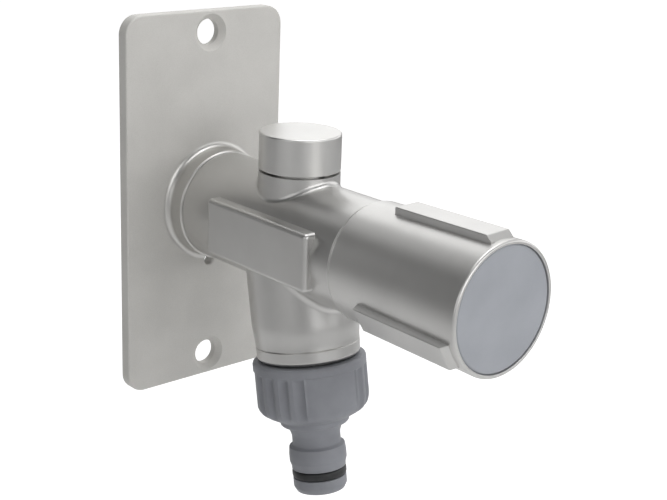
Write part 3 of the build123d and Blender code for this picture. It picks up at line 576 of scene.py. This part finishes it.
def makeRib():
    half = ribSection()
    outline = half + [(reach, -side) for reach, side in reversed(half[1:])]
    low, front, top = rib["back"] * mm, rib["front"] * mm, rib["top"] * mm
    rise, chamfer = rib["rise"] * mm, rib["chamfer"] * mm
    points = [Vector((reach * mm, side * mm, low)) for reach, side in outline]
    piece = drawLine("rib", points)
    bpy.ops.mesh.select_all(action="SELECT")
    bpy.ops.mesh.edge_face_add()
    bpy.ops.mesh.extrude_region_move(TRANSFORM_OT_translate={"value": (rise, 0, front - low)})
    bpy.ops.mesh.extrude_region_move(TRANSFORM_OT_translate={"value": (0, 0, chamfer)})
    selectWhere(piece, lambda vertex: vertex.co.z > front + chamfer / 2
                and vertex.co.x > top + rise - near)
    bpy.ops.transform.translate(value=(-chamfer, 0, 0))
    selectWhere(piece, isRibEdge, "EDGE")
    bpy.ops.mesh.bevel(offset=rib["edge"] * mm, segments=3)
    closeShape(piece)
    return piece


# the edges round a rib's top and down its back corners
def isRibEdge(edge):
    first, second = (vertex.co for vertex in edge.verts)
    low, front, top = rib["back"] * mm, rib["front"] * mm, rib["top"] * mm
    along = abs(first.z - second.z) > near
    if min(first.x, second.x) > top - near:
        return along or abs(first.z - low) < near or abs(first.z - front) < near
    return along and max(first.x, second.x) > top + rib["rise"] * mm - near


def makeKnobShell():
    floor = knob["front"] - knob["recessDepth"]
    piece = turnOutline("knobShell", [(knob["bore"], knob["back"], fineEdge),
                                      (knob["backRadius"], knob["back"], knob["backEdge"]),
                                      (knob["frontRadius"], knob["front"], knob["rimRound"]),
                                      (knob["recess"], knob["front"], fineEdge), (knob["recess"], floor),
                                      (knob["bore"], floor)], steps=144, arcSteps=6)
    first = makeRib()
    ribs = [first]
    for number in range(1, rib["count"]):
        chooseOnly(first)
        bpy.ops.object.duplicate()
        ribs.append(bpy.context.object)
    for number, copy in enumerate(ribs):
        settle(copy, (0, 0, math.radians(rib["first"] + 360 * number / rib["count"])))
        joinShape(piece, copy, "UNION")
    finishPiece(piece, "tap", "knob", finishes["knob_metal"], ["knob_shell"],
                sharpAngle=28)
    keepFlats(piece)


makeKnobShell()

disc = {"radius": 17.85, "front": 130.5, "chamfer": 0.5, "edge": 0.12, "face": 1.8, "skirtOuter": 16.25,
        "skirtInner": 15.35, "skirtBack": 124.45, "shoulder": 127.05, "frontRound": 0.4}
piece = turnOutline("knobDisc", [(0, disc["front"] - disc["face"]),
                                 (disc["skirtInner"], disc["front"] - disc["face"]),
                                 (disc["skirtInner"], disc["skirtBack"]),
                                 (disc["skirtOuter"], disc["skirtBack"]),
                                 (disc["skirtOuter"], disc["shoulder"]), (disc["radius"], disc["shoulder"]),
                                 (disc["radius"], disc["front"] - disc["chamfer"], disc["edge"]),
                                 (disc["radius"] - disc["chamfer"], disc["front"], disc["frontRound"]),
                                 (0, disc["front"])], steps=144, closed=False)
finishPiece(piece, "tap", "knob", finishes["disc_plastic"], ["knob_disc"])
keepFlats(piece)


# vent cap

cap = {"radius": 12.4, "low": 20.3, "top": 31.5, "edge": 0.6, "lowEdge": 0.25, "bore": 10.25,
       "roof": 2.6, "roofRound": 0.5}
piece = turnOutline("ventCap", [(0, cap["top"]), (cap["radius"], cap["top"], cap["edge"]),
                                (cap["radius"], cap["low"], cap["lowEdge"]),
                                (cap["bore"], cap["low"], cap["lowEdge"]),
                                (cap["bore"], cap["top"] - cap["roof"], cap["roofRound"]),
                                (0, cap["top"] - cap["roof"])], steps=128, closed=False, arcSteps=6)
finishPiece(piece, "vent", "tap", finishes["cap_metal"], ["vent_cap"])
keepFlats(piece)


# threaded nipple in the outlet

nipple = {"ledgeHole": 7.5, "top": 25.0, "socket": 12.0, "shoulder": 38.45, "thread": 13.2,
          "threadTop": 39.3, "threadEnd": 49.3, "threadRest": 0.1, "end": 50.0, "chamfer": 0.8,
          "bore": 9.6, "ledge": 29.0}
piece = turnOutline("outletNipple", [(nipple["ledgeHole"], nipple["top"]),
                                     (nipple["socket"], nipple["top"], smallEdge),
                                     (nipple["socket"], nipple["shoulder"]),
                                     (nipple["thread"], nipple["shoulder"]),
                                     *threadRings(nipple["thread"], nipple["threadTop"],
                                                  nipple["threadEnd"]),
                                     (nipple["thread"] - nipple["chamfer"], nipple["end"], fineEdge),
                                     (nipple["bore"], nipple["end"], fineEdge),
                                     (nipple["bore"], nipple["ledge"]),
                                     (nipple["ledgeHole"], nipple["ledge"])])
cutThread(piece, nipple["thread"], nipple["thread"], nipple["threadTop"] + nipple["threadRest"],
          nipple["threadEnd"] - nipple["threadRest"])
finishPiece(piece, "outlet", "tap", finishes["nickel_brass"], ["outlet_nipple"])


# check valve's spring, drawn at rest; the poppet shortens it as it lifts

spring = {"radius": 4.3, "wire": 0.6, "low": 33.75, "high": 44.15, "turns": 5, "stepsPerTurn": 48,
          "guide": 44.2, "lift": 4.0}


def makeCheckSpring():
    start = spring["low"] + spring["wire"] / 2
    deselectAll()
    bpy.ops.mesh.primitive_circle_add(vertices=12, radius=spring["wire"] / 2 * mm,
                                      location=(spring["radius"] * mm, 0, start * mm),
                                      rotation=(math.pi / 2, 0, 0))
    piece = bpy.context.object
    piece.name = "checkSpring"
    bpy.ops.object.transform_apply(location=True, rotation=True, scale=True)
    modifier = piece.modifiers.new("coils", "SCREW")
    modifier.axis = "Z"
    modifier.screw_offset = (spring["high"] - spring["low"] - spring["wire"]) / spring["turns"] * mm
    modifier.iterations = spring["turns"]
    modifier.steps = spring["stepsPerTurn"]
    modifier.render_steps = spring["stepsPerTurn"]
    bpy.ops.object.modifier_apply(modifier=modifier.name)
    bpy.ops.object.mode_set(mode="EDIT")
    bpy.ops.mesh.select_all(action="SELECT")
    bpy.ops.mesh.fill_holes(sides=12)
    bpy.ops.object.mode_set(mode="OBJECT")
    finishPiece(piece, "outlet", "tap", finishes["screw_steel"], ["check_spring"])
    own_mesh(piece)


makeCheckSpring()


# hose coupling: fluted nut, hose spigot and its ring

nut = {"radius": 17.6, "rim": 17.3, "top": 38.8, "rimSlope": 0.7, "slopeRound": 0.4, "bore": 13.5,
       "boreChamfer": (0.5, 0.6), "floor": 54.55, "hole": 9.08, "end": 60.0, "endRound": 1.0,
       "hub": 10.8,
       "shoulder": ((17.57, 51.4), (17.48, 52.3), (17.28, 53.2), (16.93, 54.1), (16.4, 54.9),
                    (15.6, 55.6), (14.6, 56.2), (13.2, 56.95), (11.3, 57.8, 0.5), (10.8, 58.3, 0.3)),
       "ringStretches": ((40.5, 41.5, 0.2), (41.6, 41.8, 0.1), (42.1, 50.6, 0.45)),
       "flutes": 4, "groups": 3, "firstFlute": -51.9, "pitch": 16.5, "fluteTop": 41.3,
       "fluteEnd": 56.4, "fluteDepth": 1.05, "fluteWidth": 5.6, "fluteRunIn": 1.3, "fluteRunOut": 2.9,
       "panelMiddle": -16.65, "panelSpan": 57.0, "panelTop": 41.55, "panelDepth": 0.35,
       "panelEdge": 0.4, "panelStep": 0.25, "skinReach": 13.6}


def fade(value, low, high):
    share = min(1.0, max(0.0, (value - low) / (high - low)))
    return share * share * (3 - 2 * share)


# the shorter way round between two angles
def angleBetween(angle, other):
    return abs((angle - other + 180) % 360 - 180)


# how deep the grip is sunk at an angle from the front and a depth below the tap's middle
def gripDepth(angle, depth, radius):
    along = fade(depth, nut["fluteTop"], nut["fluteTop"] + nut["fluteRunIn"])
    along *= fade(nut["fluteEnd"] - depth, 0.0, nut["fluteRunOut"])
    sunk = 0.0
    for group in range(nut["groups"]):
        turned = group * 360 / nut["groups"]
        for number in range(nut["flutes"]):
            away = angleBetween(angle, nut["firstFlute"] - number * nut["pitch"] + turned)
            if away < nut["fluteWidth"]:
                sunk = max(sunk, along * nut["fluteDepth"] * (1 - (away / nut["fluteWidth"]) ** 2))
        inside = nut["panelSpan"] / 2 - angleBetween(angle, nut["panelMiddle"] + turned)
        step = fade(inside, -nut["panelEdge"], nut["panelEdge"])
        step *= fade(depth, nut["panelTop"], nut["panelTop"] + nut["panelStep"])
        sunk = max(sunk, step * max(0.0, radius - (nut["radius"] - nut["panelDepth"])))
    return sunk


def sinkGrip(piece):
    for vertex in piece.data.vertices:
        radius = math.hypot(vertex.co.x, vertex.co.y) / mm
        depth = vertex.co.z / mm
        if radius < nut["skinReach"] or depth < nut["fluteTop"] or depth > nut["fluteEnd"]:
            continue
        angle = 90 - math.degrees(math.atan2(vertex.co.y, vertex.co.x))
        share = 1 - gripDepth(angle, depth, radius) / radius
        vertex.co.x *= share
        vertex.co.y *= share
    piece.data.update()


def makeCouplingNut():
    chamferIn, chamferDown = nut["boreChamfer"]
    outline = [(nut["bore"] + chamferIn, nut["top"], fineEdge), (nut["rim"], nut["top"], smallEdge),
               (nut["radius"], nut["top"] + nut["rimSlope"], nut["slopeRound"])]
    for low, high, spacing in nut["ringStretches"]:
        outline += rings(nut["radius"], low, high, spacing)
    outline += nut["shoulder"]
    outline += [(nut["hub"], nut["end"], nut["endRound"]), (nut["hole"], nut["end"], fineEdge),
                (nut["hole"], nut["floor"]), (nut["bore"], nut["floor"]),
                (nut["bore"], nut["top"] + chamferDown)]
    piece = turnOutline("couplingNut", outline, steps=360, arcSteps=3)
    sinkGrip(piece)
    finishPiece(piece, "outlet", "nut", finishes["coupling_plastic"],
                ["coupling_nut"], sharpAngle=40)


makeCouplingNut()

spigot = {"bore": 5.2, "boreChamfer": 0.6, "flange": 12.8, "flangeTop": 52.1, "flangeEnd": 54.5,
          "stem": 9.0, "stemEnd": 59.6, "waist": 8.2, "waistDepth": 61.4, "neck": 7.56, "neckTop": 63.2,
          "neckEnd": 66.4, "lip": 8.7, "lipDepth": 67.0, "collar": 8.95, "collarTop": 69.3,
          "collarEnd": 71.6, "land": 8.45, "landTop": 73.2, "groove": 6.8, "grooveEdge": 0.15,
          "ringTop": 74.1, "ringEnd": 77.0, "tip": 8.35, "tipEnd": 79.8, "mouth": 7.5, "end": 81.4}
spigotRounds = {"stem": 1.5, "waist": 2.5, "neckTop": 3.0, "neckEnd": 0.5, "lip": 0.25, "collarTop": 1.5,
                "collarEnd": 1.0, "land": 0.8, "tip": 0.9, "mouth": 0.4}
piece = turnOutline("hoseSpigot", [(spigot["bore"], spigot["flangeTop"], smallEdge),
                                   (spigot["flange"], spigot["flangeTop"], smallEdge),
                                   (spigot["flange"], spigot["flangeEnd"], smallEdge),
                                   (spigot["stem"], spigot["flangeEnd"], smallEdge),
                                   (spigot["stem"], spigot["stemEnd"], spigotRounds["stem"]),
                                   (spigot["waist"], spigot["waistDepth"], spigotRounds["waist"]),
                                   (spigot["neck"], spigot["neckTop"], spigotRounds["neckTop"]),
                                   (spigot["neck"], spigot["neckEnd"], spigotRounds["neckEnd"]),
                                   (spigot["lip"], spigot["lipDepth"], spigotRounds["lip"]),
                                   (spigot["collar"], spigot["collarTop"], spigotRounds["collarTop"]),
                                   (spigot["collar"], spigot["collarEnd"], spigotRounds["collarEnd"]),
                                   (spigot["land"], spigot["landTop"], spigotRounds["land"]),
                                   (spigot["land"], spigot["ringTop"], spigot["grooveEdge"]),
                                   (spigot["groove"], spigot["ringTop"]),
                                   (spigot["groove"], spigot["ringEnd"]),
                                   (spigot["tip"], spigot["ringEnd"], spigot["grooveEdge"]),
                                   (spigot["tip"], spigot["tipEnd"], spigotRounds["tip"]),
                                   (spigot["mouth"], spigot["end"], spigotRounds["mouth"]),
                                   (spigot["bore"] + spigot["boreChamfer"], spigot["end"], fineEdge),
                                   (spigot["bore"], spigot["end"] - spigot["boreChamfer"])], steps=120)
finishPiece(piece, "outlet", "spigot", finishes["coupling_plastic"],
            ["hose_spigot"], sharpAngle=40)

ring = {"inner": 6.85, "outer": 8.5, "top": 74.15, "end": 76.95, "round": 0.95}
piece = turnOutline("spigotRing", [(ring["inner"], ring["top"], smallEdge),
                                   (ring["outer"], ring["top"], ring["round"]),
                                   (ring["outer"], ring["end"], ring["round"]),
                                   (ring["inner"], ring["end"], smallEdge)], steps=96, arcSteps=6)
finishPiece(piece, "outlet", "spigot", finishes["seal_rubber"], ["spigot_ring"],
            sharpAngle=60)


# studio

studio = {"floorLevel": -0.30, "floorSize": 24.0, "floorTone": 0.8, "nearGlow": 0.45, "farGlow": 1.0,
          "glowStart": 0.5, "glowEnd": 1.4, "worldLevel": 0.06, "worldShare": 0.04, "floorShare": 0.15}


# 1 for camera and transmission rays, and a share of the glossy ones: the satin metal mirrors a dim room
def whiteRays(tree, glossyShare):
    rays = addNode(tree, "LightPath")
    glossy = addNode(tree, "Math", operation="MULTIPLY")
    glossy.inputs[1].default_value = glossyShare
    tree.links.new(rays.outputs["Is Glossy Ray"], glossy.inputs[0])
    seen = addNode(tree, "Math", operation="MAXIMUM")
    tree.links.new(rays.outputs["Is Camera Ray"], seen.inputs[0])
    tree.links.new(rays.outputs["Is Transmission Ray"], seen.inputs[1])
    either = addNode(tree, "Math", operation="MAXIMUM")
    tree.links.new(seen.outputs[0], either.inputs[0])
    tree.links.new(glossy.outputs[0], either.inputs[1])
    return either.outputs[0]


def makeFloor():
    deselectAll()
    bpy.ops.mesh.primitive_plane_add(size=studio["floorSize"], location=(0, 0, studio["floorLevel"]))
    floor = bpy.context.object
    floor.name = "floor"
    material, tree, shader, place = startMaterial("floorPaper", {"specular": 0.0})
    shader.inputs["Base Color"].default_value = (studio["floorTone"],) * 3 + (1,)
    shader.inputs["Roughness"].default_value = 0.9
    shader.inputs["Emission Color"].default_value = (1, 1, 1, 1)
    distance = addNode(tree, "VectorMath", operation="LENGTH")
    tree.links.new(place, distance.inputs[0])
    glow = addRange(tree, distance.outputs["Value"], studio["nearGlow"], studio["farGlow"],
                    studio["glowStart"], studio["glowEnd"])
    seen = addNode(tree, "Math", operation="MULTIPLY")
    tree.links.new(glow, seen.inputs[0])
    tree.links.new(whiteRays(tree, studio["floorShare"]), seen.inputs[1])
    tree.links.new(seen.outputs[0], shader.inputs["Emission Strength"])
    floor.data.materials.append(material)


def makeWorld():
    world = scene.world or bpy.data.worlds.new("studio")
    scene.world = world
    world.use_nodes = True
    tree = world.node_tree
    tree.nodes.clear()
    plain = addNode(tree, "Background", Color=(1, 1, 1, 1), Strength=studio["worldLevel"])
    white = addNode(tree, "Background", Color=(1, 1, 1, 1), Strength=1.0)
    mix = addNode(tree, "MixShader")
    output = addNode(tree, "OutputWorld")
    tree.links.new(whiteRays(tree, studio["worldShare"]), mix.inputs[0])
    tree.links.new(plain.outputs[0], mix.inputs[1])
    tree.links.new(white.outputs[0], mix.inputs[2])
    tree.links.new(mix.outputs[0], output.inputs["Surface"])


# azimuth 0 is in front of the tap and 90 at its right; level is the brightness of the lamp's face
lampAim = (0, -0.055, 0)  # each lamp hangs a metre from it
lamps = {
    "topLamp": {"azimuth": 0, "elevation": 89, "size": (0.8, 0.8), "level": 2.1},
    "highRightLamp": {"azimuth": 70, "elevation": 62, "size": (0.6, 0.6), "level": 1.7},
    "highLeftLamp": {"azimuth": -36, "elevation": 47, "size": (0.3, 0.25), "level": 0.7},
    "backRightLamp": {"azimuth": 138, "elevation": 35, "size": (0.9, 0.8), "level": 1.25},
    "backLamp": {"azimuth": 180, "elevation": 33, "size": (0.6, 0.5), "level": 0.77},
    "backRightLowLamp": {"azimuth": 130, "elevation": 8, "size": (0.7, 0.35), "level": 0.48},
    "backLowLamp": {"azimuth": -165, "elevation": 8, "size": (0.7, 0.4), "level": 0.9},
    "leftLamp": {"azimuth": -78, "elevation": 14, "size": (0.8, 0.6), "level": 0.92},
    "frontLeftLamp": {"azimuth": -36, "elevation": 16, "size": (0.55, 0.55), "level": 0.4},
    "frontLamp": {"azimuth": 2, "elevation": 15, "size": (1.1, 0.6), "level": 1.95},
    "rightLamp": {"azimuth": 72, "elevation": 15, "size": (1.3, 0.6), "level": 1.3},
}


def makeLamps():
    aim = Vector(lampAim)
    for name, lamp in lamps.items():
        light = bpy.data.lights.new(name, "AREA")
        light.shape = "RECTANGLE"
        light.size, light.size_y = lamp["size"]
        light.energy = math.pi * light.size * light.size_y * lamp["level"]
        turn, lift = math.radians(lamp["azimuth"]), math.radians(lamp["elevation"])
        toLamp = Vector((math.sin(turn) * math.cos(lift), -math.cos(turn) * math.cos(lift), math.sin(lift)))
        holder = bpy.data.objects.new(name, light)
        holder.location = aim + toLamp
        holder.rotation_euler = (-toLamp).to_track_quat("-Z", "Y").to_euler()
        holder.visible_camera = False
        scene.collection.objects.link(holder)


makeFloor()
makeWorld()
makeLamps()

# camera at the photograph's angle
shot = {"azimuth": -42.01, "elevation": 17.79, "roll": 2.20, "distance": 411.37,
        "aim": (0.0, -54.41, 0.0), "right": 5.86, "up": -3.52, "lens": 73.97, "sensor": 36.0}


def makeCamera():
    turn, lift, roll = (math.radians(shot[key]) for key in ("azimuth", "elevation", "roll"))
    back = Vector((math.sin(turn) * math.cos(lift), -math.cos(turn) * math.cos(lift), math.sin(lift)))
    level = Vector((math.cos(turn), math.sin(turn), 0))
    rise = back.cross(level)
    right = math.cos(roll) * level + math.sin(roll) * rise
    up = math.cos(roll) * rise - math.sin(roll) * level
    place = Vector(shot["aim"]) + shot["right"] * right + shot["up"] * up + shot["distance"] * back
    deselectAll()
    bpy.ops.object.camera_add()
    camera = bpy.context.object
    camera.name = "photoCamera"
    camera.matrix_world = Matrix.Translation(place * mm) @ Matrix((right, up, back)).transposed().to_4x4()
    camera.data.lens = shot["lens"]
    camera.data.sensor_width = shot["sensor"]
    camera.data.clip_start = 0.01
    scene.camera = camera


makeCamera()
scene.view_settings.view_transform = "Standard"
print("studio and camera set")
